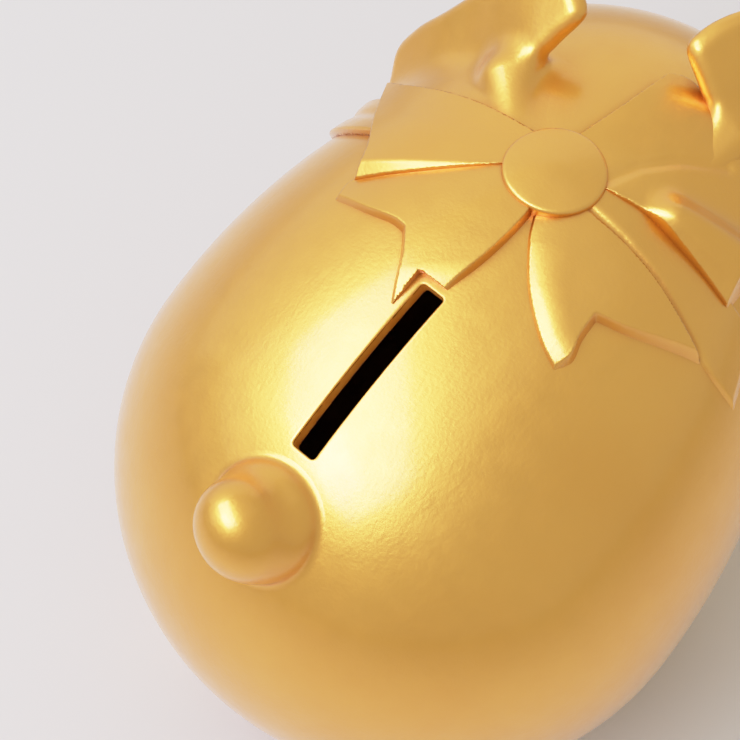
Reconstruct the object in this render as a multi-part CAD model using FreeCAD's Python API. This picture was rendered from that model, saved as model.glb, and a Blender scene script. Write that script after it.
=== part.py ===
"""Piggy bank: a plump slip-cast pig, its applied trimmings and its rubber belly stopper.

Millimetres. The pig stands on z = 0, faces -Y and has its tail towards +Y; its own left is +X.
The head is turned to the pig's left. Sizes are first worked out about the body's centre, and
everything is moved to the row's origin, on the floor below the middle of the footprint, at the end.
"""
import FreeCAD, Part
import math
import os

V = FreeCAD.Vector

# ---- driving dimensions ---------------------------------------------------
BODY_CENTRE = V(0, 23.2, 66)     # where the body's centre lies in the row's frame
BODY_RADIUS = 60.0               # the egg is round about its own long axis
BODY_FRONT = 90.0                # half length of the egg towards the head
BODY_REAR = 58.0                 # half length of the egg towards the tail
BODY_TILT = 28.0                 # the egg's long axis rises towards the head, degrees
WALL = 4.0                       # thickness of the cast wall

HEAD_TURN = 25.0                 # the head looks towards the pig's left, degrees
HEAD_CENTRE = V(5, -56.4, 22.6)
HEAD_HALF_WIDTH = 47.0           # along the head's own left-right line
HEAD_RADIUS = 42.5               # in every direction across that line

SLOT_LENGTH = 36.0
SLOT_WIDTH = 5.0
SLOT_MIDDLE = V(0, 14.3, 58.0)   # on the back, between the tail and the bow
SLOT_SLOPE = 20.5                # the back rises towards the head here, degrees

HOLE_RADIUS = 15.5               # belly hole, wide enough for a 26.5 mm coin
HOLE_Y = -2.0
BOSS_RADIUS = 21.0               # flat rim round the belly hole
BOSS_FACE = -60.0
BOSS_DEPTH = 9.0
PLUG_CLEARANCE = 0.05
PLUG_HEIGHT = 10.0
FLANGE_RADIUS = 19.0
FLANGE_THICK = 2.6
FLANGE_GAP = 0.1                 # between the flange and the boss face

LEG_RADIUS_TOP = 14.5
LEG_RADIUS_FOOT = 12.5
LEG_FILLET = 3.0
REAR_LEG = (27.0, 25.0)          # left-right and front-back distance of the leg's axis
FRONT_LEG = (27.0, -37.0)
LEG_TOP = -20.0                  # leg blanks run up into the body and are trimmed there

KNOT = V(0, -34.1, 68.2)         # middle of the bow, on the nape
KNOT_RADIUS = 9.5
KNOT_HEIGHT = 4.2
LOOP_HEIGHT = 3.2
TAIL_END_HEIGHT = 2.2            # how far the ribbon tails stand off the back
RIBBON_WIDTH = 10.0
RIBBON_HEIGHT = 1.6
NECK_AHEAD = 4.5                 # from the knot forwards to the neck seam, which the ribbon covers

TAIL_FOOT = V(-1.4, 44.3, 42.3)  # the tail is a stubby nub: a small ball on a wider one
TAIL_FOOT_RADIUS = 9.7
TAIL_TIP = V(1.2, 46.3, 46.5)
TAIL_TIP_RADIUS = 6.8

EAR_BASE = V(34.0, -50.8, 56.0)  # middle of the left ear's root
EAR_THICK = 5.6
EAR_ROUND = 1.8
RIGHT_EAR_SHIFT = (-4.0, 0.0, -2.2)   # it sits a little further out than a mirror image would
EYE_RADIUS = 3.6
SNOUT_HALF_WIDTH = 14.5
SNOUT_HALF_HEIGHT = 11.0
SNOUT_REACH = 47.5               # from the head's centre to the flat of the snout
SNOUT_DROP = 6.0                 # the snout sits below the head's middle
NOSTRIL_RADIUS = 2.3
NOSTRIL_DEPTH = 4.0

FAR = 400.0                      # larger than anything in the model


# ---- directions -------------------------------------------------------------
def turned(across, back, up):
    """A vector given in the head's own left, back and up directions."""
    turn = math.radians(HEAD_TURN)
    return V(across * math.cos(turn) - back * math.sin(turn),
             across * math.sin(turn) + back * math.cos(turn), up)


HEAD_LEFT = turned(1, 0, 0)
HEAD_BACK = turned(0, 1, 0)
UP = V(0, 0, 1)
tilt = math.radians(BODY_TILT)
BODY_AXIS = V(0, -math.cos(tilt), math.sin(tilt))
BODY_UP = V(0, math.sin(tilt), math.cos(tilt))
NECK_AXIS = turned(0, -math.cos(tilt), math.sin(tilt))


def between(x_axis, z_axis, origin):
    """Placement whose local X and Z lie along the two given directions."""
    y_axis = z_axis.cross(x_axis)
    return FreeCAD.Placement(origin, FreeCAD.Rotation(x_axis, y_axis, z_axis, "ZXY"))


def put(shape, placement):
    shape.Placement = placement
    return shape


def spun(edges, axis_origin, axis):
    """Solid of revolution of a closed run of edges."""
    return Part.Face(Part.Wire(edges)).revolve(axis_origin, axis, 360)


# ---- the two cast lumps -----------------------------------------------------
def quarter_ellipse(start, end, centre):
    """Quarter of an ellipse as a spline; the start lies on its longer axis, the end on its shorter one."""
    return Part.Ellipse(start, end, centre).toBSpline(0, math.pi / 2).toShape()


def egg(grow):
    """The body's egg, grown outwards by a distance (or shrunk, when negative)."""
    middle = V(0, 0, 0)
    shoulder = V(0, BODY_RADIUS + grow, 0)
    nose = V(BODY_FRONT + grow, 0, 0)
    rump = V(-BODY_REAR - grow, 0, 0)
    profile = [quarter_ellipse(nose, shoulder, middle), quarter_ellipse(shoulder, rump, middle),
               Part.makeLine(rump, nose)]
    return put(spun(profile, middle, V(1, 0, 0)), between(BODY_AXIS, BODY_UP, middle))


def head(grow):
    """The head's ellipsoid, round about its left-right line."""
    ellipse = Part.Ellipse(V(HEAD_HALF_WIDTH + grow, 0, 0), V(0, HEAD_RADIUS + grow, 0), V(0, 0, 0))
    axis_line = Part.makeLine(V(-HEAD_HALF_WIDTH - grow, 0, 0), V(HEAD_HALF_WIDTH + grow, 0, 0))
    solid = spun([ellipse.toShape(0, math.pi), axis_line], V(0, 0, 0), V(1, 0, 0))
    return put(solid, between(HEAD_LEFT, UP, HEAD_CENTRE))


def skin(grow):
    """Body and head together."""
    return egg(grow).fuse(head(grow))


OUTSIDE = skin(0)
INSIDE = skin(-WALL)


def neck_slab(start, end):
    """Everything between two planes across the neck, measured forwards from the seam."""
    block = Part.makeBox(FAR, FAR, end - start, V(-FAR / 2, -FAR / 2, start))
    return put(block, between(HEAD_LEFT, NECK_AXIS, KNOT + NECK_AXIS * NECK_AHEAD))


# ---- the hollow shell -------------------------------------------------------
def slot_cutter():
    depth = 4 * WALL
    block = Part.makeBox(SLOT_WIDTH, SLOT_LENGTH, depth, V(-SLOT_WIDTH / 2, -SLOT_LENGTH / 2, -depth / 2))
    corners = [edge for edge in block.Edges if abs(edge.Vertexes[0].Z - edge.Vertexes[1].Z) > WALL]
    block = block.makeFillet(0.8, corners)
    slope = math.radians(SLOT_SLOPE)
    return put(block, between(V(1, 0, 0), V(0, math.sin(slope), math.cos(slope)), SLOT_MIDDLE))


def cast_shell():
    shell = OUTSIDE.cut(INSIDE)
    boss = Part.makeCylinder(BOSS_RADIUS, BOSS_DEPTH, V(0, HOLE_Y, BOSS_FACE))
    hole = Part.makeCylinder(HOLE_RADIUS, BOSS_DEPTH * 3, V(0, HOLE_Y, BOSS_FACE - BOSS_DEPTH))
    return shell.fuse(boss).cut(hole).cut(slot_cutter())


def body_shell():
    return cast_shell().common(neck_slab(-FAR / 2, 0))


def head_shell():
    return cast_shell().common(neck_slab(0, FAR / 2))


# ---- bow and neck ribbon ----------------------------------------------------
# Outlines as seen from above, about the knot: left of the head, then back.
BOW_LEFT_LOOP = [(8.8, -8.9), (18.2, -13), (32.3, -18.8), (38.5, -23.3), (36.6, -8.2), (35, 5.5), (30, 6.6),
                 (21, 5.1), (10, 2.3)]
BOW_RIGHT_LOOP = [(-2.3, -9.3), (-7.6, -17.6), (-12.8, -27), (-14.2, -28.6), (-18, -27.4), (-31, -17), (-36, -6),
                  (-35, 6.5), (-25.2, 5.3), (-17.9, 2.7), (-11, 1.8)]
BOW_LEFT_TAIL = [(10, 2.9), (21, 5.7), (30, 7.2), (37.5, 11), (30.3, 15), (23, 18), (21.3, 22.8), (20.4, 32.1),
                 (11, 28.5), (5.6, 20.6), (1.4, 9.7)]
BOW_RIGHT_TAIL = [(0.6, 9.6), (0.4, 15.9), (-2.1, 24.3), (-6.4, 31.6), (-10.4, 35.5), (-13.2, 32.8), (-15.1, 24.6),
                  (-22.2, 23.9), (-34, 19.5), (-23.4, 12.8), (-15.2, 8.6), (-7.8, 5.8)]


def outline_prism(outline):
    """Upright block over an outline drawn about the knot."""
    points = [KNOT + turned(across, back, -HEAD_RADIUS) for across, back in outline]
    wire = Part.makePolygon(points + points[:1])
    return Part.Face(wire).extrude(V(0, 0, 2 * HEAD_RADIUS))


def relief(outline, height, cutters):
    """A flat strip of clay that lies on the skin, within an outline."""
    prism = outline_prism(outline)
    strip = prism.common(skin(height)).cut(OUTSIDE)
    for cutter in cutters:
        strip = strip.cut(cutter)
    return max(strip.Solids, key=lambda solid: solid.Volume)


def knot_blank():
    return Part.makeCylinder(KNOT_RADIUS, 2 * KNOT_HEIGHT + WALL, KNOT - V(0, 0, KNOT_HEIGHT + WALL))


def bow_knot():
    blank = knot_blank()
    rim = [edge for edge in blank.Edges if edge.Vertexes[0].Z > KNOT.z and len(edge.Vertexes) == 1
           and abs(edge.BoundBox.ZLength) < 0.1]
    return blank.makeFillet(KNOT_HEIGHT * 0.6, rim).cut(OUTSIDE)


def slot_rim():
    """Keeps the bow clear of the slot and of the flat round it."""
    return put(Part.makeBox(SLOT_WIDTH + 3, SLOT_LENGTH + 3, 4 * WALL,
                            V(-(SLOT_WIDTH + 3) / 2, -(SLOT_LENGTH + 3) / 2, -2 * WALL)),
               slot_cutter().Placement)


def neck_ribbon():
    bow = [outline_prism(BOW_LEFT_LOOP), outline_prism(BOW_RIGHT_LOOP), outline_prism(BOW_LEFT_TAIL),
           outline_prism(BOW_RIGHT_TAIL), knot_blank()]
    band = skin(RIBBON_HEIGHT).cut(OUTSIDE).common(neck_slab(-RIBBON_WIDTH / 2, RIBBON_WIDTH / 2))
    above = Part.makeBox(FAR, FAR, FAR, V(-FAR / 2, -FAR / 2, KNOT.z - HEAD_RADIUS))
    for prism in bow:
        band = band.cut(prism.common(above))
    for side in (1, -1):
        band = band.cut(ear(side))
    return max(band.Solids, key=lambda solid: solid.Volume)


# ---- face, ears, tail, legs --------------------------------------------------
# Outline of an ear seen from behind: outwards along its root, then up the leaf.
EAR_OUTLINE = [(23, -14), (23.2, -3), (21, 2.8), (14.5, 6), (7.9, 8.5), (-1, 12.4), (-10, 16.8), (-16, 19.6),
               (-20.5, 19), (-24.6, 14.6), (-27, 9), (-25.5, 4.8), (-21.5, 1), (-18.5, -3), (-17, -14)]


def ear_blank():
    """The left ear, a short wide leaf leaning forwards and inwards, before its root is trimmed to the head."""
    root = turned(0.77, -0.254, -0.585).normalize()
    rise = turned(0.16, -0.81, 0.56)
    normal = root.cross(rise).normalize()
    rise = normal.cross(root)
    edge = Part.BSplineCurve()
    edge.interpolate([EAR_BASE + root * along + rise * up for along, up in EAR_OUTLINE])
    foot = Part.makeLine(edge.EndPoint, edge.StartPoint)
    leaf = Part.Face(Part.Wire([edge.toShape(), foot]))
    leaf.translate(normal * (-EAR_THICK / 2))
    blank = leaf.extrude(normal * EAR_THICK)
    sides = [side for side in blank.Edges if side.Length > 2 * EAR_THICK and side.Curve.TypeId != foot.Curve.TypeId]
    return blank.makeFillet(EAR_ROUND, sides)


def ear(side):
    blank = ear_blank()
    if side < 0:
        blank = blank.mirror(HEAD_CENTRE, HEAD_LEFT)
        blank.translate(turned(*RIGHT_EAR_SHIFT))
    return max(blank.cut(OUTSIDE).Solids, key=lambda solid: solid.Volume)


def eye(side):
    centre = HEAD_CENTRE + turned(side * 16.5, -36.5, 11)
    return Part.makeSphere(EYE_RADIUS, centre).cut(OUTSIDE)


def snout():
    forwards = HEAD_BACK * -1
    middle = HEAD_CENTRE - UP * SNOUT_DROP
    oval = Part.Ellipse(V(SNOUT_HALF_WIDTH, 0, 0), V(0, SNOUT_HALF_HEIGHT, 0), V(0, 0, 0)).toShape()
    blank = Part.Face(Part.Wire([oval])).extrude(V(0, 0, SNOUT_REACH))
    rim = [edge for edge in blank.Edges if edge.BoundBox.ZMin > SNOUT_REACH - 0.1]
    blank = blank.makeFillet(2.4, rim)
    for side in (-1, 1):
        nostril = Part.makeCylinder(NOSTRIL_RADIUS, NOSTRIL_DEPTH * 2,
                                    V(side * 5.2, 0, SNOUT_REACH - NOSTRIL_DEPTH))
        blank = blank.cut(nostril)
    return put(blank, between(HEAD_LEFT, forwards, middle)).cut(OUTSIDE)


def tail():
    """A stubby nub on the rump."""
    foot = Part.makeSphere(TAIL_FOOT_RADIUS, TAIL_FOOT)
    tip = Part.makeSphere(TAIL_TIP_RADIUS, TAIL_TIP)
    return foot.fuse(tip).cut(OUTSIDE)


def leg(x, y):
    floor = -BODY_CENTRE.z
    blank = Part.makeCone(LEG_RADIUS_FOOT, LEG_RADIUS_TOP, LEG_TOP - floor, V(x, y, floor))
    sole = [edge for edge in blank.Edges if edge.BoundBox.ZMax < floor + 0.1 and edge.Closed]
    blank = blank.makeFillet(LEG_FILLET, sole)
    return max(blank.cut(OUTSIDE).Solids, key=lambda solid: -solid.BoundBox.ZMin)


# ---- belly stopper ----------------------------------------------------------
def belly_stopper():
    """Rubber bung: a plug in the hole, a flange below it and a finger bar across a dished face."""
    flange_top = BOSS_FACE - FLANGE_GAP
    plug_radius = HOLE_RADIUS - PLUG_CLEARANCE
    plug = Part.makeCylinder(plug_radius, PLUG_HEIGHT + FLANGE_GAP, V(0, HOLE_Y, flange_top))
    lead_in = [edge for edge in plug.Edges if edge.Closed and edge.BoundBox.ZMin > flange_top + PLUG_HEIGHT - 1]
    plug = plug.makeChamfer(1.2, lead_in)
    hollow = Part.makeCylinder(plug_radius - 3, PLUG_HEIGHT, V(0, HOLE_Y, flange_top + 3))
    flange = Part.makeCylinder(FLANGE_RADIUS, FLANGE_THICK, V(0, HOLE_Y, flange_top - FLANGE_THICK))
    flange = flange.makeFillet(0.9, [edge for edge in flange.Edges
                                     if edge.Closed and edge.BoundBox.ZMax < flange_top - 1])
    bottom = flange_top - FLANGE_THICK
    dish = Part.makeCylinder(11, 3.2, V(0, HOLE_Y, bottom))
    bar = Part.makeBox(24, 3.6, 3.4, V(-12, HOLE_Y - 1.8, bottom + 0.4))
    return plug.cut(hollow).fuse(flange).cut(dish.cut(bar)).removeSplitter()


# ---- every node -------------------------------------------------------------
def bow_pieces():
    knot = knot_blank()
    rim = slot_rim()
    left_ear, right_ear = ear(1), ear(-1)
    return {
        "bow_knot": bow_knot(),
        "bow_left_loop": relief(BOW_LEFT_LOOP, LOOP_HEIGHT, [knot, left_ear]),
        "bow_right_loop": relief(BOW_RIGHT_LOOP, LOOP_HEIGHT, [knot, right_ear]),
        "bow_left_tail": relief(BOW_LEFT_TAIL, TAIL_END_HEIGHT, [knot, rim]),
        "bow_right_tail": relief(BOW_RIGHT_TAIL, TAIL_END_HEIGHT, [knot, rim]),
    }


def all_pieces():
    pieces = {
        "body_shell": body_shell(),
        "head_shell": head_shell(),
        "neck_ribbon": neck_ribbon(),
        "snout": snout(),
        "left_ear": ear(1),
        "right_ear": ear(-1),
        "left_eye": eye(1),
        "right_eye": eye(-1),
        "tail": tail(),
        "belly_stopper": belly_stopper(),
    }
    pieces.update(bow_pieces())
    for name, (x, y) in (("front", FRONT_LEG), ("rear", REAR_LEG)):
        pieces[name + "_left_leg"] = leg(x, y)
        pieces[name + "_right_leg"] = leg(-x, y)
    return pieces


def main():
    os.makedirs("parts", exist_ok=True)
    whole = FreeCAD.BoundBox()
    for name, shape in all_pieces().items():
        shape = shape.copy()
        shape.translate(BODY_CENTRE)
        whole.add(shape.BoundBox)
        shape.exportStep(os.path.join("parts", name + ".step"))
        print(f"{name:16s} solids {len(shape.Solids)}  valid {shape.isValid()}  {shape.Volume / 1000:8.2f} cm3")
    print(whole)


main()
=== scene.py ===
"""Looks of the gold piggy bank: hollow body and head, bow, ears, face, tail and legs in satin gold paint.

Every ceramic piece is shaped from a distance field in millimetres about the middle of the body, meshed,
and placed in the row's frame in metres. The rubber stopper keeps its CAD mesh.
"""

import math

import bpy
import numpy as np
from mathutils import Matrix, Vector


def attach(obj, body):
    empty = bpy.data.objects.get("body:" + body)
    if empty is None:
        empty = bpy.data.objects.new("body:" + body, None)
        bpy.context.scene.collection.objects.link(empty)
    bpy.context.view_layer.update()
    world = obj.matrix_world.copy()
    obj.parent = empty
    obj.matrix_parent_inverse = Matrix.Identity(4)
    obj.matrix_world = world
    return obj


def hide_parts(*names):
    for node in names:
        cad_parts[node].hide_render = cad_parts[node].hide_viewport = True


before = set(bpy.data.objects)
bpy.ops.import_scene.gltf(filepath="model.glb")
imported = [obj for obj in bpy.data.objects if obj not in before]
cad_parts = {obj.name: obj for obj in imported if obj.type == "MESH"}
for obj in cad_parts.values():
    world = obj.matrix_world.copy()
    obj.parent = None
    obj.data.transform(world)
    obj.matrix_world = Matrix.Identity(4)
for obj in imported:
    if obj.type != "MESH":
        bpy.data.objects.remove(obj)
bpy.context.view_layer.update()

# ---- sizes, in millimetres ------------------------------------------------------
BODY_CENTRE = (0.0, 23.2, 66.0)       # where the body's middle lies in the row's frame
BODY_RADIUS = 60.0
BODY_FRONT = 90.0
BODY_REAR = 58.0
BODY_TILT = math.radians(28)
WALL = 4.0

HEAD_TURN = math.radians(25)
HEAD_CENTRE = (5.0, -56.4, 22.6)
HEAD_HALF = (47.0, 42.5, 42.5)        # left-right, back-front, up-down
NECK_BLEND = 7.0
NECK_AHEAD = 4.5                      # the seam at the neck lies this far ahead of the knot
NECK_GAP = 0.05                       # what keeps the head's shell off the body's

SLOT_MIDDLE = (0.0, 14.3, 58.0)
SLOT_SLOPE = math.radians(20.5)
SLOT_HALF_LENGTH = 18.0
SLOT_HALF_WIDTH = 2.5
SLOT_CORNER = 0.7
SLOT_ROUND = 0.5                      # how far the slot's edge is rounded over
SLOT_RIM = 1.6                        # plain flat left round the slot
SLOT_LOWEST = 20.0                    # the slot's cut reaches down to this height

HOLE_RADIUS = 15.5
HOLE_Y = -2.0
HOLE_ROUND = 0.8
HOLE_PAST_BOSS = 6.0                  # the hole's cut reaches this far above the boss
BOSS_RADIUS = 21.0
BOSS_FACE = -60.0
BOSS_DEPTH = 9.0
BOSS_ROUND = 1.5
BOSS_FILLET = 2.5

KNOT = (0.0, -34.1, 68.2)
KNOT_RADIUS = 9.5
KNOT_SHIFT = (-0.5, 0.8)              # how far left of KNOT, and behind it, the button's middle lies
KNOT_HEIGHT = 3.2
KNOT_DOME = 0.7                       # the button is this much lower at its rim
RIBBON_HALF_WIDTH = 5.0
RIBBON_HEIGHT = 1.6
RIBBON_SUNK = 0.4                     # under the bow the ribbon lies this far under the skin
RIBBON_SHOWS_FROM = 20.0              # the ribbon starts to rise out of the skin this far from the knot
RIBBON_GROOVE_DEPTH = 0.5
RIBBON_GROOVE_WIDTH = 1.1
LOOP_HEIGHT = 2.0
LOOP_SWELL = 0.04                     # a loop gains this much height per millimetre away from the knot
LOOP_FOOT_HEIGHT = 2.05
LOOP_FOOT_SLOPE = 0.58                # how steeply a loop turns down to its foot
LEFT_TAIL_HEIGHT = 1.9
TAIL_COLLAR = (-0.6, 41.9, 41.9)      # a low wide collar under a ball with a bump on its side
TAIL_COLLAR_HALF = (10.6, 10.6, 5.5)
TAIL_BALL = (-0.7, 45.3, 42.0)
TAIL_BALL_RADIUS = 8.9
TAIL_TIP = (1.2, 46.3, 46.5)
TAIL_TIP_RADIUS = 6.8
EAR_BASE = (33.9, -50.8, 56.0)
EAR_ROLL = ((22.5, -46.6, 62.6), (10.6, -38.2, 62.4))   # the root runs out into a roll towards the knot
RIGHT_EAR_SHIFT = (-4.0, 0.0, -2.2)   # the right ear sits further out and lower than a mirror image
EAR_ROLL_RADII = (3.7, 2.9)
EAR_THICKNESS = 2.5                   # to each side of the leaf's middle, at its base
EAR_FILLET = 4.5
EYE = (16.5, -38.5, 11.0)             # the left eye about the head's middle, along the head's axes
EYE_RADIUS = 3.4
SNOUT_HALF = (14.5, 11.0)
SNOUT_REACH = 47.5                    # from the head's middle to the flat of the snout
SNOUT_DROP = 6.0
NOSTRIL_RADIUS = 2.1
NOSTRIL_SIDE = 5.2
NOSTRIL_END = 43.5
FLOOR = -66.0
LEGS = {"front": (27.0, -37.0), "rear": (27.0, 25.0)}
LEG_FOOT_RADIUS = 12.5
LEG_TAPER = 2.0 / 46

SUNK = 1.5                            # applied pieces reach this far into the wall
RELIEF_FOOT = 0.3                     # a relief starts this far under the skin and outside its outline
CLAY_DEPTH = 3.4                      # deeper in the wall than this the clay is bare

CURVE_STEPS = 6                       # straight pieces from one point of an outline to the next
PROBE = 0.12                          # a field's slope is measured this far to each side
SETTLE_ROUNDS = 2
# finer stretches of the body's grid, as start, end and step along the slot's axes
SLOT_SIDE_BAND = (-4.2, 4.2, 0.3)
SLOT_END_BANDS = ((-19.8, -16.2, 0.3), (16.2, 19.8, 0.3))
SLOT_DEPTH_BAND = (-6.5, 1.8, 0.35)
HOLE_BANDS = ((-16.8, 16.8, 1.0), (9.0, 43.2, 1.0), (-122.8, -107.2, 1.0))   # one along each axis

CAMERA_LENS = 116.8                   # on a frame 36 mm wide
CAMERA_PLACE = (-144.1, 169.5, 416.9)   # about the body's middle
CAMERA_RIGHT = (-0.734, -0.679, 0)
CAMERA_FORWARD = (0.3455, -0.3734, -0.8609)
TONE_TOP = 3                          # brightest scene value that the tone curve covers


# ---- frames -----------------------------------------------------------------------
def turned(across, back, up):
    """A vector given in the head's own left, back and up directions."""
    return (across * math.cos(HEAD_TURN) - back * math.sin(HEAD_TURN),
            across * math.sin(HEAD_TURN) + back * math.cos(HEAD_TURN), up)


def unit(vector):
    """The same direction, one long."""
    return np.array(vector, float) / np.linalg.norm(vector)


HEAD_AXES = (unit(turned(1, 0, 0)), unit(turned(0, 1, 0)), unit((0, 0, 1)))
SLOT_AXES = (unit((1, 0, 0)), unit((0, math.cos(SLOT_SLOPE), -math.sin(SLOT_SLOPE))),
             unit((0, math.sin(SLOT_SLOPE), math.cos(SLOT_SLOPE))))
TAIL_AXES = (unit((1, 0, 0)), unit((0, 0.67, -0.74)), unit((0, 0.74, 0.67)))
LEVEL_AXES = (unit((1, 0, 0)), unit((0, 1, 0)), unit((0, 0, 1)))
NECK_NORMAL = unit(turned(0, -math.cos(BODY_TILT), math.sin(BODY_TILT)))
NECK_AXES = (HEAD_AXES[0], np.cross(NECK_NORMAL, HEAD_AXES[0]), NECK_NORMAL)


def place(origin, axes, u, v, w):
    """Points given along three axes, as x, y and z about the body's middle."""
    point = []
    for i in range(3):
        value = origin[i]
        for coordinate, axis in ((u, axes[0]), (v, axes[1]), (w, axes[2])):
            if abs(axis[i]) > 1e-9:
                value = value + coordinate * axis[i]
        point.append(value)
    return tuple(point)


def along(point, origin, axis):
    """How far a point lies from an origin along one axis."""
    value = 0.0
    for p, o, a in zip(point, origin, axis):
        if abs(a) > 1e-9:
            value = value + (p - o) * a
    return value


def mirrored(lump, shift):
    """The same lump on the other side of the head, moved there by a shift along the head's axes."""
    moved = place((0, 0, 0), HEAD_AXES, *shift)

    def reflected(point):
        there = [p - m for p, m in zip(point, moved)]
        across = 2 * along(there, HEAD_CENTRE, HEAD_AXES[0])
        return lump(tuple(t - across * a for t, a in zip(there, HEAD_AXES[0])))
    return reflected


# ---- distance fields ----------------------------------------------------------------
def smooth_min(a, b, blend):
    """The lower of two, rounded where they are closer than the blend."""
    overlap = np.clip(1 - np.abs(a - b) / blend, 0, 1)
    return np.minimum(a, b) - overlap * overlap * blend / 4


def smooth_max(a, b, blend):
    """The higher of two, rounded where they are closer than the blend."""
    return -smooth_min(-a, -b, blend)


def smooth_step(value):
    """From 0 to 1 with level ends, as the value goes from 0 to 1."""
    value = np.clip(value, 0, 1)
    return value * value * (3 - 2 * value)


def oval(u, v, w, half):
    """Nearly the distance to an ellipsoid."""
    scaled = np.sqrt((u / half[0]) ** 2 + (v / half[1]) ** 2 + (w / half[2]) ** 2) + 1e-6
    steep = np.sqrt((u / half[0] ** 2) ** 2 + (v / half[1] ** 2) ** 2 + (w / half[2] ** 2) ** 2) + 1e-6
    return scaled * (scaled - 1) / steep


def egg(point, grow=0.0):
    """The body: longer ahead of its middle than behind it, with its front end tilted up."""
    x, y, z = point
    ahead = z * math.sin(BODY_TILT) - y * math.cos(BODY_TILT)
    above = z * math.cos(BODY_TILT) + y * math.sin(BODY_TILT)
    length = np.where(ahead > 0, BODY_FRONT, BODY_REAR) + grow
    return oval(x, ahead, above, (BODY_RADIUS + grow, length, BODY_RADIUS + grow))


def head(point, grow=0.0):
    """The head: an ellipsoid that is turned to the pig's left."""
    local = [along(point, HEAD_CENTRE, axis) for axis in HEAD_AXES]
    return oval(*local, [half + grow for half in HEAD_HALF])


def skin(point, grow=0.0):
    """Body and head together, with a soft hollow where they meet."""
    return smooth_min(egg(point, grow), head(point, grow), NECK_BLEND)


def ahead_of_neck(point):
    """How far a point lies ahead of the seam at the neck."""
    return along(point, KNOT, NECK_NORMAL) - NECK_AHEAD


def slot(point, wider=0.0):
    """The coin slot, or the same a little wider all round."""
    across = np.abs(point[0]) - SLOT_HALF_WIDTH - wider + SLOT_CORNER
    lengthwise = np.abs(along(point, SLOT_MIDDLE, SLOT_AXES[1])) - SLOT_HALF_LENGTH - wider + SLOT_CORNER
    outside = np.sqrt(np.maximum(across, 0) ** 2 + np.maximum(lengthwise, 0) ** 2)
    prism = outside + np.minimum(np.maximum(across, lengthwise), 0) - SLOT_CORNER
    return np.maximum(prism, -(point[2] - SLOT_LOWEST))


def cast_wall(point):
    """The hollow wall with its belly boss, belly hole and coin slot."""
    x, y, z = point
    wall = np.maximum(skin(point), -skin(point, -WALL))
    round_boss = np.sqrt(x * x + (y - HOLE_Y) ** 2)
    boss_level = np.abs(z - BOSS_FACE - BOSS_DEPTH / 2) - BOSS_DEPTH / 2
    boss = smooth_max(round_boss - BOSS_RADIUS, boss_level, BOSS_ROUND)
    wall = smooth_min(wall, boss, BOSS_FILLET)
    belly_hole = np.maximum(round_boss - HOLE_RADIUS, z - BOSS_FACE - BOSS_DEPTH - HOLE_PAST_BOSS)
    wall = smooth_max(wall, -belly_hole, HOLE_ROUND)
    return smooth_max(wall, -slot(point), SLOT_ROUND)


def body_field(point):
    """The casting behind the seam at the neck."""
    return np.maximum(cast_wall(point), ahead_of_neck(point))


def head_field(point):
    """The hollow wall ahead of the seam at the neck."""
    wall = np.maximum(skin(point), -skin(point, -WALL))
    return np.maximum(wall, NECK_GAP - ahead_of_neck(point))


def applied(lump, blend):
    """A lump stuck on the skin with a filleted foot, without what lies deep in the wall.

    The foot's thin rim dips just under the skin, but is shaded as if it did not.
    """
    def shaped(point, dip):
        base = skin(point)
        part = lump(point)
        apart = (part - base) / blend
        near = np.clip(1 - np.abs(apart), 0, 1)
        joined = np.minimum(base, part) - near ** 3 * blend / 6 + dip * smooth_step(apart / 0.3 - 2)
        return np.maximum(np.maximum(joined, -(base + SUNK)), (apart - 0.9) * blend)

    def field(point):
        return shaped(point, 0.12)

    field.look = lambda point: shaped(point, 0.0)
    return field


# ---- outlines on the skin, as seen from above ------------------------------------------
def curve(points):
    """A smooth line through a few points."""
    ends = [2 * np.array(points[0]) - points[1]] + [np.array(p, float) for p in points]
    ends.append(2 * np.array(points[-1]) - points[-2])
    line = []
    for a, b, c, d in zip(ends, ends[1:], ends[2:], ends[3:]):
        for step in range(CURVE_STEPS):
            t = step / CURVE_STEPS
            line.append(0.5 * (2 * b + (c - a) * t + (2 * a - 5 * b + 4 * c - d) * t * t
                               + (3 * b - a - 3 * c + d) * t ** 3))
    return line + [ends[-2]]


def outline(*curves):
    """A closed outline of smooth curves that meet at corners."""
    points = []
    for one in curves:
        points += curve(one)[:-1]
    return points


def line_distance(u, v, points):
    """Distance to an open line."""
    best = np.inf
    for (ax, ay), (bx, by) in zip(points, points[1:]):
        ex, ey = bx - ax, by - ay
        t = np.clip(((u - ax) * ex + (v - ay) * ey) / (ex * ex + ey * ey), 0, 1)
        best = np.minimum(best, (u - ax - ex * t) ** 2 + (v - ay - ey * t) ** 2)
    return np.sqrt(best)


def outline_distance(u, v, points):
    """Distance to a closed outline, negative inside it."""
    inside = np.zeros(np.broadcast(u, v).shape, bool)
    for (ax, ay), (bx, by) in zip(points, points[1:] + points[:1]):
        crosses = (v >= ay) != (v >= by)
        side = (bx - ax) * (v - ay) - (by - ay) * (u - ax)
        inside ^= crosses & ((side > 0) == (by > ay))
    distance = line_distance(u, v, points + points[:1])
    return np.where(inside, -distance, distance)


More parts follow.
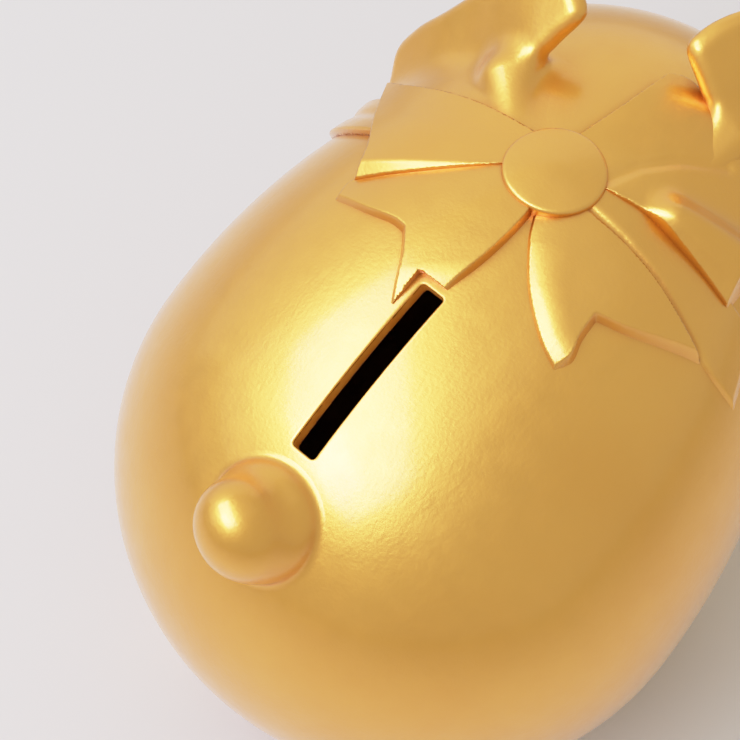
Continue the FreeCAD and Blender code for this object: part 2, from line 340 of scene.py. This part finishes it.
LEFT_LOOP_FOOT = [(35.2, 7.8), (30, 7.1), (21, 5.7), (10, 2.9), (2, 0)]
LEFT_LOOP = outline([(2, -6), (9, -9), (18, -13), (32, -18.8), (38.5, -23.5)],
                    [(38.5, -23.5), (37, -10), (35.2, 0), (35.2, 7.8)], LEFT_LOOP_FOOT, [(2, 0), (2, -6)])
RIGHT_LOOP_FOOT = [(-2, 0), (-11, 1.7), (-18, 2.7), (-25, 5.3), (-36, 9)]
RIGHT_LOOP_FOLD = [(-9, 0), (-14.4, -6), (-20.6, -10.3), (-29, -14)]
RIGHT_LOOP = outline(RIGHT_LOOP_FOOT, [(-36, 9), (-38, -2), (-33, -15), (-26, -24)],
                     [(-26, -24), (-19, -29), (-14.3, -28.8), (-12.6, -26.5)],
                     [(-12.6, -26.5), (-7.6, -17.6), (-2.3, -9.3), (0, -5)], [(0, -5), (-2, 0)])
LEFT_TAIL = outline([(2, -3), (10, 0), (21, 3), (31, 5), (36, 7), (37.4, 11.4)],
                    [(37.4, 11.4), (30.3, 15), (25, 17), (22.4, 18.6)],
                    [(22.4, 18.6), (21.3, 23), (20.8, 27.5), (20.2, 33)], [(20.2, 33), (14, 33), (11, 28.5)],
                    [(11, 28.5), (5.6, 20.6), (1.5, 11.9), (-0.4, 4)], [(-0.4, 4), (2, -3)])
RIGHT_TAIL_EDGE = [(1.2, 4), (1.0, 11), (0.4, 16), (-2.1, 24.3), (-6.4, 31.6), (-10.4, 35.5)]
RIGHT_TAIL = outline(RIGHT_TAIL_EDGE, [(-10.4, 35.5), (-13.2, 32.6), (-13.8, 28.7), (-15.1, 24.6)],
                     [(-15.1, 24.6), (-22.2, 23.9), (-34.5, 20.4)],
                     [(-34.5, 20.4), (-23.4, 12.8), (-15.2, 8.6), (-7.8, 5.6), (-2, 2)], [(-2, 2), (1.2, 4)])
RIGHT_TAIL_SEAM = [(-42, 26), (-34.5, 20.4), (-23.4, 12.8), (-15.2, 8.6), (-7.8, 5.6)]
RIGHT_UNDER_FOLD = outline([(-3, 4), (-13, 11), (-22, 16), (-32, 19.8)],
                           [(-32, 19.8), (-36, 21.3), (-42, 22)], [(-42, 22), (-42, 8)],
                           [(-42, 8), (-25, 2.5), (-12, -1)], [(-12, -1), (-3, 4)])


def plan(point):
    """Where a point lies about the knot, as seen from above: left of the head, then back."""
    return along(point, KNOT, HEAD_AXES[0]), along(point, KNOT, HEAD_AXES[1])


def relief(border, height_at, run=1.0):
    """A piece that stands off the skin within an outline; its side walls rise over a short run."""
    def field(point):
        u, v = plan(point)
        edge = outline_distance(u, v, border)
        rise = smooth_step(-edge / run)
        height = (height_at(u, v) + RELIEF_FOOT) * rise - RELIEF_FOOT
        base = skin(point)
        return np.maximum(np.maximum(base - height, -(base + SUNK)), edge - RELIEF_FOOT)
    return field


def loop_height(u, v, foot):
    """A loop swells away from the knot and folds down to its foot."""
    away = np.sqrt(u * u + v * v)
    full = LOOP_HEIGHT + LOOP_SWELL * np.clip(away - 9, 0, 40)
    return smooth_min(full, foot_height(away) + LOOP_FOOT_SLOPE * line_distance(u, v, foot), 0.35)


def foot_height(away):
    """How high a loop's foot stands off the skin."""
    return LOOP_FOOT_HEIGHT - 0.036 * np.clip(away - 10, 0, 24)


def left_loop_height(u, v):
    """The plain loop."""
    return loop_height(u, v, LEFT_LOOP_FOOT)


def right_loop_height(u, v):
    """Like the left loop, with a fold across it and a swelling where it turns over at its foot."""
    crease = np.exp(-(line_distance(u, v, RIGHT_LOOP_FOLD) / 1.3) ** 2)
    swelling = smooth_step((-u - 16.5) / 7.5) * np.exp(-((v - 1.0) / 4.0) ** 2)
    return loop_height(u, v, RIGHT_LOOP_FOOT) - 0.45 * crease + 2.8 * swelling


def left_tail_height(u, v):
    """Low beside the loop's foot, full in the middle, and sloping down to the slot."""
    to_slot = (27 - v) + 0.35 * (u - 10.5)
    beside = foot_height(np.sqrt(u * u + v * v)) - 0.4 + 0.1 * line_distance(u, v, LEFT_LOOP_FOOT)
    end = 0.5 + 0.36 * np.clip(to_slot + 1.5, 0, 20)
    return smooth_min(smooth_min(LEFT_TAIL_HEIGHT, beside, 0.8), end, 0.6)


def right_tail_height(u, v):
    """Rises from its left edge, ever more steeply towards the end."""
    away = np.sqrt(u * u + v * v)
    bevel = 0.35 + (0.16 + 0.0085 * away) * line_distance(u, v, RIGHT_TAIL_EDGE)
    return smooth_min(1.2 + 0.028 * away, bevel, 0.9)


def clear_of_slot(field):
    """The same piece, cut off where the plain flat round the slot begins."""
    def cut(point):
        return np.maximum(field(point), -slot(point, SLOT_RIM))
    return cut


def under_fold_height(u, v):
    """Nearly level with the right loop's foot, with a groove beside the right tail."""
    groove = np.exp(-(line_distance(u, v, RIGHT_TAIL_SEAM) / 0.7) ** 2)
    return foot_height(np.sqrt(u * u + v * v)) - 0.4 - 0.5 * groove


def right_tail_field(point):
    """The right tail, with the low fold that shows between it and the right loop."""
    fold = relief(RIGHT_UNDER_FOLD, under_fold_height)
    return np.minimum(relief(RIGHT_TAIL, right_tail_height, run=0.8)(point), fold(point))


# ---- lumps ---------------------------------------------------------------------------
def ball(centre, radius):
    """Distance to a ball."""
    def field(point):
        return np.sqrt(sum((p - c) ** 2 for p, c in zip(point, centre))) - radius
    return field


def capsule(start, end, start_radius, end_radius):
    """A round bar with ball ends."""
    length = math.dist(start, end)
    axis = [(e - s) / length for s, e in zip(start, end)]

    def field(point):
        share = np.clip(along(point, start, axis) / length, 0, 1)
        gap = sum((p - s - a * share * length) ** 2 for p, s, a in zip(point, start, axis))
        return np.sqrt(gap) - start_radius - (end_radius - start_radius) * share
    return field


def knot_field(point):
    """A round button, slightly domed."""
    u, v = plan(point)
    base = skin(point)
    away = np.sqrt((u - KNOT_SHIFT[0]) ** 2 + (v - KNOT_SHIFT[1]) ** 2)
    top = base - (KNOT_HEIGHT - KNOT_DOME * (away / KNOT_RADIUS) ** 2)
    disc = smooth_max(top, away - KNOT_RADIUS, 0.7)
    return np.maximum(disc, -(base + SUNK))


def ribbon_field(point):
    """Flat ribbon round the neck, with a groove along its middle; under the bow it sinks into the skin."""
    base = skin(point)
    across = ahead_of_neck(point)
    u, v = plan(point)
    shown = smooth_step((np.sqrt(u * u + v * v) - RIBBON_SHOWS_FROM) / 8)
    side = smooth_step((RIBBON_HALF_WIDTH + 0.2 - np.abs(across)) / 1.6)
    groove = RIBBON_GROOVE_DEPTH * np.exp(-(across / RIBBON_GROOVE_WIDTH) ** 2)
    height = (RIBBON_HEIGHT * side - groove + RIBBON_SUNK) * shown - RIBBON_SUNK
    return np.maximum(np.maximum(base - height, -(base + SUNK)), np.abs(across) - RIBBON_HALF_WIDTH)


EAR_ROOT = unit(turned(0.77, -0.254, -0.585))
EAR_NORMAL = unit(np.cross(turned(0.16, -0.81, 0.56), EAR_ROOT))
EAR_RISE = np.cross(EAR_ROOT, EAR_NORMAL)
EAR_OUTLINE = outline([(23, -12), (23, 0), (16.6, 5.2), (7.9, 8.5), (-3, 13.3), (-13.5, 18.1), (-18, 19.5),
                       (-22, 17.2), (-26, 12.5), (-27.4, 7.6), (-22, 2.2), (-18.4, -2), (-17, -12)],
                      [(-17, -12), (23, -12)])


def ear_lump(point):
    """A leaf that is thick at its root and bends back at its inner end, where a roll runs down from it."""
    sideways = along(point, EAR_BASE, EAR_ROOT)
    up = along(point, EAR_BASE, EAR_RISE)
    through = along(point, EAR_BASE, EAR_NORMAL)
    edge = outline_distance(sideways, up, EAR_OUTLINE)
    thickness = EAR_THICKNESS - 0.03 * np.clip(up, -10, 24)
    bent = through + 0.004 * sideways ** 2 + 0.7 - 2.2 * smooth_step((2 - sideways) / 22)
    leaf = smooth_max(edge, np.abs(bent) - thickness, 3.0)
    return smooth_min(leaf, capsule(*EAR_ROLL, *EAR_ROLL_RADII)(point), 6.5)


def tail_lump(point):
    """A stubby nub: a ball with a bumpy tip on a low collar."""
    local = [along(point, TAIL_COLLAR, axis) for axis in TAIL_AXES]
    nub = smooth_min(ball(TAIL_BALL, TAIL_BALL_RADIUS)(point), ball(TAIL_TIP, TAIL_TIP_RADIUS)(point), 5.0)
    return smooth_min(nub, oval(*local, TAIL_COLLAR_HALF), 3.0)


def eye_field(side):
    """A small ball set into the head, on its left (1) or right (-1)."""
    x, y, z = turned(side * EYE[0], EYE[1], EYE[2])
    centre = (HEAD_CENTRE[0] + x, HEAD_CENTRE[1] + y, HEAD_CENTRE[2] + z)
    return applied(ball(centre, EYE_RADIUS), 0.8)


def snout_lump(point):
    """An oval drum with a rounded rim, a slightly dished face and two nostrils."""
    sideways = along(point, HEAD_CENTRE, HEAD_AXES[0])
    forwards = -along(point, HEAD_CENTRE, HEAD_AXES[1])
    up = along(point, HEAD_CENTRE, HEAD_AXES[2]) + SNOUT_DROP
    drum = oval(sideways, up, 0.0, (*SNOUT_HALF, 1.0))
    face = forwards - SNOUT_REACH + 0.6 * np.exp(-(sideways ** 2 + up ** 2) / 60)
    solid = smooth_max(drum, face, 4.0)
    nostril = np.sqrt((np.abs(sideways) - NOSTRIL_SIDE) ** 2 + (up / 1.35) ** 2) - NOSTRIL_RADIUS
    return smooth_max(solid, -np.maximum(nostril, NOSTRIL_END - forwards), 1.2)


def leg_lump(x0, y0):
    """A round column, a little thicker towards the body, with a rounded foot on the floor."""
    def field(point):
        x, y, z = point
        radius = LEG_FOOT_RADIUS + (z - FLOOR) * LEG_TAPER
        column = (np.sqrt((x - x0) ** 2 + (y - y0) ** 2) - radius) * 0.99
        return smooth_max(column, FLOOR - z, 5.0)
    return field


# ---- meshing -----------------------------------------------------------------------------
def spaced(low, high, coarse, fine=()):
    """Grid lines from low to high: coarse steps, with stretches of a finer step. A later stretch wins."""
    lines = [low]
    while lines[-1] < high:
        here = lines[-1]
        step = coarse
        for start, end, small in fine:
            if start - coarse < here < end:
                step = small if here >= start - 1e-9 else min(coarse, max(start - here, small))
        lines.append(here + step)
    return np.array(lines)


def crossings(values, grids, axis):
    """Edges of the grid along one axis that cross the surface, and where they cross it."""
    values = np.moveaxis(values, axis, 0)
    low, high = values[:-1], values[1:]
    cross = (low < 0) != (high < 0)
    share = np.where(cross, low / np.where(cross, low - high, 1), 0)
    lines = grids[axis]
    start = lines[:-1].reshape(-1, 1, 1)
    gap = np.diff(lines).reshape(-1, 1, 1)
    position = start + share * gap
    return np.moveaxis(cross, 0, axis), np.moveaxis(position, 0, axis), np.moveaxis(low < 0, 0, axis)


def surface_net(values, grids):
    """Quad mesh of where the values pass through zero: grid coordinates and faces.

    It is closed unless the surface leaves the grid, and thin places can share an edge between four faces.
    """
    shape = [n - 1 for n in values.shape]
    total = [np.zeros(shape) for _ in range(3)]
    count = np.zeros(shape, int)
    found = []
    for axis in range(3):
        cross, position, rising = crossings(values, grids, axis)
        found.append((cross, rising))
        others = [a for a in range(3) if a != axis]
        for first in (0, 1):
            for second in (0, 1):
                part = [slice(None)] * 3
                part[others[0]] = slice(first, first + shape[others[0]])
                part[others[1]] = slice(second, second + shape[others[1]])
                part = tuple(part)
                hit = cross[part]
                count += hit
                total[axis] += np.where(hit, position[part], 0)
                for other, offset in zip(others, (first, second)):
                    lines = grids[other][offset:offset + shape[other]]
                    across = lines.reshape([-1 if a == other else 1 for a in range(3)])
                    total[other] += np.where(hit, across, 0)
    active = count > 0
    index = np.full(shape, -1)
    index[active] = np.arange(active.sum())
    points = [t[active] / count[active] for t in total]
    faces = []
    for axis, (cross, rising) in enumerate(found):
        second, third = (axis + 1) % 3, (axis + 2) % 3
        i = list(np.nonzero(cross))
        keep = (i[second] > 0) & (i[third] > 0)
        keep &= (i[second] < values.shape[second] - 1) & (i[third] < values.shape[third] - 1)
        i = [a[keep] for a in i]
        corners = []
        for ds, dt in ((1, 1), (0, 1), (0, 0), (1, 0)):
            cell = list(i)
            cell[second] = cell[second] - ds
            cell[third] = cell[third] - dt
            corners.append(index[tuple(cell)])
        quads = np.stack(corners, 1)
        falling = ~rising[tuple(i)]
        quads[falling] = quads[falling][:, ::-1]
        faces.append(quads)
    return points, np.concatenate(faces)


def gradient(field, points):
    """Which way the field rises fastest at each point, and how steeply."""
    rows = []
    for i in range(3):
        ahead, behind = list(points), list(points)
        ahead[i] = points[i] + PROBE
        behind[i] = points[i] - PROBE
        rows.append((field(tuple(ahead)) - field(tuple(behind))) / (2 * PROBE))
    return np.stack(rows, 1)


def settle(field, points, limit):
    """Moves points onto the surface, by no more than a limit each round."""
    for _ in range(SETTLE_ROUNDS):
        slope = gradient(field, points)
        steep = np.maximum((slope ** 2).sum(1), 0.05)
        shift = -field(points) / steep
        longest = np.abs(shift) * np.sqrt(steep)
        shift *= np.minimum(1, limit / np.maximum(longest, 1e-9))
        points = tuple(p + shift * slope[:, i] for i, p in enumerate(points))
    return points


def piece(name, field, origin, axes, grids, coats=None):
    """Meshes a field as the piece that stands for the CAD node of the same name."""
    u, v, w = grids
    values = field(place(origin, axes, u[:, None, None], v[None, :, None], w[None, None, :]))
    local, faces = surface_net(values + np.zeros((len(u), len(v), len(w))), grids)
    points = place(origin, axes, *local)
    step = min(np.diff(lines).min() for lines in grids)
    points = settle(field, points, step * 0.4)
    slope = gradient(getattr(field, "look", field), points)
    normals = slope / np.maximum(np.linalg.norm(slope, axis=1, keepdims=True), 1e-9)
    vertices = np.stack([(p + c) / 1000 for p, c in zip(points, BODY_CENTRE)], 1)
    mesh = bpy.data.meshes.new(name)
    mesh.from_pydata(vertices.tolist(), [], faces.tolist())
    mesh.polygons.foreach_set("use_smooth", np.ones(len(faces), bool))
    mesh.materials.append(GOLD)
    if coats is not None:
        mesh.materials.append(BARE)
        mesh.materials.append(SLOT_GLOW)
        middles = tuple(p[faces].mean(1) for p in points)
        mesh.polygons.foreach_set("material_index", coats(middles).astype(np.int32))
    mesh.update()
    mesh.normals_split_custom_set_from_vertices(normals.tolist())
    thing = bpy.data.objects.new(name, mesh)
    bpy.context.scene.collection.objects.link(thing)
    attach(thing, "pig")
    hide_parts(name)


def boxed(name, field, low, high, step, origin=KNOT, axes=HEAD_AXES):
    """A piece meshed within a box given along the axes from the origin.

    Both bow tails and both ears reach past one side of their box, so their meshes are open there. That is
    under the knot or the loops, but for a few millimetres of the left ear, which lie beside them.
    """
    grids = [spaced(a, b, step) for a, b in zip(low, high)]
    piece(name, field, origin, axes, grids)


# ---- materials -------------------------------------------------------------------------
def new_material(name):
    """A node material, with its tree and its main shader."""
    material = bpy.data.materials.new(name)
    material.use_nodes = True
    shader = material.node_tree.nodes["Principled BSDF"]
    return material, material.node_tree, shader


def noise(tree, scale, detail, stretch=(1, 1, 1)):
    """A noise texture in the row's frame."""
    nodes, links = tree.nodes, tree.links
    where = nodes.new("ShaderNodeTexCoord")
    mapping = nodes.new("ShaderNodeMapping")
    mapping.inputs["Scale"].default_value = stretch
    texture = nodes.new("ShaderNodeTexNoise")
    texture.inputs["Scale"].default_value = scale
    texture.inputs["Detail"].default_value = detail
    links.new(where.outputs["Object"], mapping.inputs["Vector"])
    links.new(mapping.outputs["Vector"], texture.inputs["Vector"])
    return texture.outputs["Fac"]


def ranged(tree, value, low, high, span=(0.3, 0.7)):
    """The value's span, where most of a noise lies, spread from low to high."""
    remap = tree.nodes.new("ShaderNodeMapRange")
    remap.inputs["From Min"].default_value = span[0]
    remap.inputs["From Max"].default_value = span[1]
    remap.inputs["To Min"].default_value = low
    remap.inputs["To Max"].default_value = high
    tree.links.new(value, remap.inputs["Value"])
    return remap.outputs["Result"]


def mixed(tree, first, second, factor):
    """A colour between two, which are colours or outputs of other nodes."""
    mix = tree.nodes.new("ShaderNodeMix")
    mix.data_type = "RGBA"
    for socket, colour in (("A", first), ("B", second)):
        if isinstance(colour, tuple):
            mix.inputs[socket].default_value = (*colour, 1)
        else:
            tree.links.new(colour, mix.inputs[socket])
    tree.links.new(factor, mix.inputs["Factor"])
    return mix.outputs["Result"]


def bump(tree, height, strength, distance, below=None):
    """Raised grain from a height, on top of what lies below."""
    node = tree.nodes.new("ShaderNodeBump")
    node.inputs["Strength"].default_value = strength
    node.inputs["Distance"].default_value = distance
    tree.links.new(height, node.inputs["Height"])
    if below is not None:
        tree.links.new(below, node.inputs["Normal"])
    return node.outputs["Normal"]


def gold_paint():
    """Satin gold paint with fine grain and painted shade that turns it darker orange in the creases, under a
    thin clear coat.
    """
    material, tree, shader = new_material("gold_paint")
    open_paint = mixed(tree, (0.85, 0.45, 0.072), (0.89, 0.49, 0.086), ranged(tree, noise(tree, 35, 3), 0, 1))
    # painted shade: an ambient occlusion node darkens the paint to deep orange in creases and beside raised
    # edges
    crease_shade = tree.nodes.new("ShaderNodeAmbientOcclusion")
    crease_shade.samples = 8
    crease_shade.inputs["Distance"].default_value = 0.003
    unshaded_share = ranged(tree, crease_shade.outputs["AO"], 0, 1, (0.45, 0.9))
    tree.links.new(mixed(tree, (0.62, 0.25, 0.035), open_paint, unshaded_share), shader.inputs["Base Color"])
    tree.links.new(ranged(tree, noise(tree, 220, 4), 0.35, 0.43), shader.inputs["Roughness"])
    grain = bump(tree, noise(tree, 1500, 2), 0.12, 0.0003)
    peel = bump(tree, noise(tree, 420, 2), 0.06, 0.0003, grain)
    strokes = bump(tree, noise(tree, 900, 2, (1.0, 0.3, 0.5)), 0.12, 0.0003, peel)
    tree.links.new(strokes, shader.inputs["Normal"])
    shader.inputs["Metallic"].default_value = 1.0
    shader.inputs["Coat Weight"].default_value = 1.0
    shader.inputs["Coat Roughness"].default_value = 0.16
    shader.inputs["Coat IOR"].default_value = 1.5
    return material


def bare_clay():
    """Unpainted inside of the casting: rough and brown."""
    material, tree, shader = new_material("bare_clay")
    clay = mixed(tree, (0.25, 0.11, 0.045), (0.40, 0.18, 0.075), ranged(tree, noise(tree, 120, 4), 0, 1))
    tree.links.new(clay, shader.inputs["Base Color"])
    tree.links.new(bump(tree, noise(tree, 700, 4), 0.3, 0.0004), shader.inputs["Normal"])
    shader.inputs["Roughness"].default_value = 0.85
    return material


def slot_glow_paint():
    """The coin slot's sides: a painted reflection in deep orange, hardly shiny, that stands in for the glow
    of the lit gold walls.
    """
    material, tree, shader = new_material("slot_glow_paint")
    # painted reflection: this orange stands for the light that the slot's gold walls throw on each other
    glow_colour = mixed(tree, (0.75, 0.27, 0.02), (0.90, 0.42, 0.06), ranged(tree, noise(tree, 300, 4), 0, 1))
    tree.links.new(glow_colour, shader.inputs["Base Color"])
    tree.links.new(bump(tree, noise(tree, 900, 3), 0.2, 0.0003), shader.inputs["Normal"])
    shader.inputs["Roughness"].default_value = 0.5
    return material


def stopper_rubber():
    """Dull dark grey rubber."""
    material, tree, shader = new_material("stopper_rubber")
    grey = mixed(tree, (0.045, 0.042, 0.04), (0.07, 0.065, 0.06), ranged(tree, noise(tree, 300, 4), 0, 1))
    tree.links.new(grey, shader.inputs["Base Color"])
    tree.links.new(ranged(tree, noise(tree, 150, 3), 0.62, 0.78), shader.inputs["Roughness"])
    tree.links.new(bump(tree, noise(tree, 1800, 3), 0.2, 0.0003), shader.inputs["Normal"])
    return material


GOLD = gold_paint()
BARE = bare_clay()
SLOT_GLOW = slot_glow_paint()
RUBBER = stopper_rubber()


# ---- the object ----------------------------------------------------------------------------
def coating(point):
    """Which material each face has: 0 gold outside, 1 bare clay inside, 2 painted orange glow on the coin
    slot's sides.
    """
    depth = -skin(point)
    at_slot = slot(point, 0.6) < 0
    return np.where(depth > CLAY_DEPTH, 1, np.where(at_slot & (depth > 0.5), 2, 0))


def build_shell():
    """Body and head, with a finer mesh at the coin slot and round the belly hole."""
    body_grids = (spaced(-63, 63, 1.8, (HOLE_BANDS[0], SLOT_SIDE_BAND)),
                  spaced(-82, 72, 1.8, (HOLE_BANDS[1], *SLOT_END_BANDS)),
                  spaced(-130, 18, 1.8, (HOLE_BANDS[2], SLOT_DEPTH_BAND)))
    piece("body_shell", body_field, SLOT_MIDDLE, SLOT_AXES, body_grids, coating)
    head_grids = (spaced(-50, 50, 1.5), spaced(-46, 60, 1.5), spaced(-46, 62, 1.5))
    piece("head_shell", head_field, HEAD_CENTRE, HEAD_AXES, head_grids, coating)


def build_bow():
    """Loops, tails, knot and the ribbon round the neck."""
    step = 0.36
    left_loop = relief(LEFT_LOOP, left_loop_height, run=0.6)
    boxed("bow_left_loop", left_loop, (0, -27, -35), (41, 10, 6), step)
    right_loop = relief(RIGHT_LOOP, right_loop_height, run=0.6)
    boxed("bow_right_loop", right_loop, (-41, -32, -35), (2, 11, 6), step)
    left_tail = clear_of_slot(relief(LEFT_TAIL, left_tail_height, run=0.8))
    boxed("bow_left_tail", left_tail, (-2, -2, -24), (40, 36, 5), step)
    boxed("bow_right_tail", right_tail_field, (-44, 0, -34), (3, 38, 5), step)
    boxed("bow_knot", knot_field, (-12, -12, -6), (12, 12, 6), 0.4)
    seam = tuple(k + NECK_AHEAD * n for k, n in zip(KNOT, NECK_NORMAL))
    ring = (spaced(-56, 56, 0.8), spaced(-105, 14, 0.8), spaced(-6, 6, 0.4))
    piece("neck_ribbon", ribbon_field, seam, NECK_AXES, ring)


def build_features():
    """Ears, eyes, snout, tail and legs."""
    low, high = (-6, -60, -42), (54, -8, 20)
    boxed("left_ear", applied(ear_lump, EAR_FILLET), low, high, 0.6)
    # the right ear's box is the left one's mirror image, with room for the ear's shift
    flip = 2 * along(HEAD_CENTRE, KNOT, HEAD_AXES[0])
    low, high = (flip - high[0] - 4, low[1], low[2] - 3), (flip - low[0], high[1], high[2])
    boxed("right_ear", applied(mirrored(ear_lump, RIGHT_EAR_SHIFT), EAR_FILLET), low, high, 0.7)
    boxed("left_eye", eye_field(1), (8, -46, 3), (25, -28, 19), 0.35, HEAD_CENTRE)
    boxed("right_eye", eye_field(-1), (-25, -46, 3), (-8, -28, 19), 0.35, HEAD_CENTRE)
    boxed("snout", applied(snout_lump, 3.0), (-20, -50, -24), (20, -30, 12), 0.6, HEAD_CENTRE)
    boxed("tail", applied(tail_lump, 2.6), (-18, -18, -17), (18, 16, 16), 0.45, TAIL_BALL, LEVEL_AXES)
    for where, (x, y) in LEGS.items():
        for side, name in ((1, "left"), (-1, "right")):
            lump = applied(leg_lump(side * x, y), 5.0)
            boxed(f"{where}_{name}_leg", lump, (-24, -24, -1), (24, 24, 56), 0.9,
                  (side * x, y, FLOOR), LEVEL_AXES)


def build_stopper():
    """The stopper keeps its CAD mesh and is given its rubber."""
    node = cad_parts["belly_stopper"]
    node.data.materials.clear()
    node.data.materials.append(RUBBER)


build_shell()
build_bow()
build_features()
build_stopper()


# ---- floor, light and camera ------------------------------------------------------------------
def metres(point):
    """A point about the body's middle, in millimetres, as a point in the row's frame in metres."""
    return Vector([(p + c) / 1000 for p, c in zip(point, BODY_CENTRE)])


def make_floor():
    """Plain pale paper, a little darker further away, as where a studio's light falls off."""
    bpy.ops.mesh.primitive_plane_add(size=6, location=(0, 0, 0))
    floor = bpy.context.object
    floor.name = "floor"
    material, tree, shader = new_material("floor_paper")
    where = tree.nodes.new("ShaderNodeNewGeometry")
    away = tree.nodes.new("ShaderNodeVectorMath")
    away.operation = "LENGTH"
    tree.links.new(where.outputs["Position"], away.inputs[0])
    far = ranged(tree, away.outputs["Value"], 0, 1, (0.2, 0.5))
    tree.links.new(mixed(tree, (0.667, 0.632, 0.55), (0.53, 0.495, 0.43), far), shader.inputs["Base Color"])
    shader.inputs["Roughness"].default_value = 0.9
    floor.data.materials.append(material)


def area_light(name, direction, distance, size, power, colour=(1, 1, 1)):
    """A soft box that faces the body from a direction."""
    data = bpy.data.lights.new(name, "AREA")
    data.shape = "RECTANGLE"
    data.size, data.size_y = size
    data.energy = power
    data.color = colour
    lamp = bpy.data.objects.new(name, data)
    bpy.context.scene.collection.objects.link(lamp)
    towards = Vector(direction).normalized()
    lamp.location = metres((0, 0, 0)) + towards * distance
    lamp.rotation_euler = towards.to_track_quat("Z", "Y").to_euler()


def soften_highlights():
    """Standard view with a soft shoulder, as a camera has: bright tones bend over instead of clipping."""
    view = bpy.context.scene.view_settings
    view.view_transform = "Standard"
    view.use_curve_mapping = True
    view.curve_mapping.white_level = (TONE_TOP, TONE_TOP, TONE_TOP)
    tone = view.curve_mapping.curves[3]
    tone.points[0].location = (0, 0)
    tone.points[-1].location = (1, 1)
    for scene_value, shown in ((0.3, 0.3), (0.6, 0.6), (0.85, 0.77), (1.15, 0.87), (1.7, 0.95)):
        tone.points.new(scene_value / TONE_TOP, shown)
    view.curve_mapping.update()


def make_light():
    """A pale room with a large bluish soft box above the back, fainter ones round it, and a pale wall."""
    world = bpy.data.worlds.new("room")
    world.use_nodes = True
    background = world.node_tree.nodes["Background"]
    background.inputs["Color"].default_value = (1.0, 0.98, 0.94, 1)
    background.inputs["Strength"].default_value = 0.63
    bpy.context.scene.world = world
    area_light("soft_box", (0.3, 0.52, 1.0), 1.2, (1.45, 0.6), 10.8, (0.97, 1.0, 1.4))
    area_light("bright_core", (0.15, 0.64, 0.76), 1.1, (0.5, 0.3), 1.3, (0.97, 1.0, 1.4))
    area_light("side_box", (0.65, 0.55, 0.6), 1.2, (1.0, 0.8), 0.8, (0.97, 1.0, 1.2))
    area_light("white_wall", (0.75, -0.5, 0.35), 1.4, (3.0, 1.6), 4.0, (1.0, 1.0, 1.1))
    area_light("ceiling", (0, -0.1, 1.0), 1.6, (1.6, 1.6), 1.0)
    soften_highlights()


def make_camera():
    """A long lens that looks down on the back from behind, on the pig's right."""
    data = bpy.data.cameras.new("camera")
    data.lens = CAMERA_LENS
    data.sensor_width = 36
    data.clip_start = 0.01
    camera = bpy.data.objects.new("camera", data)
    bpy.context.scene.collection.objects.link(camera)
    right = Vector(CAMERA_RIGHT).normalized()
    forward = Vector(CAMERA_FORWARD).normalized()
    up = right.cross(forward)
    rotation = Matrix((right, up, -forward)).transposed()
    camera.matrix_world = Matrix.Translation(metres(CAMERA_PLACE)) @ rotation.to_4x4()
    bpy.context.scene.camera = camera


make_floor()
make_light()
make_camera()
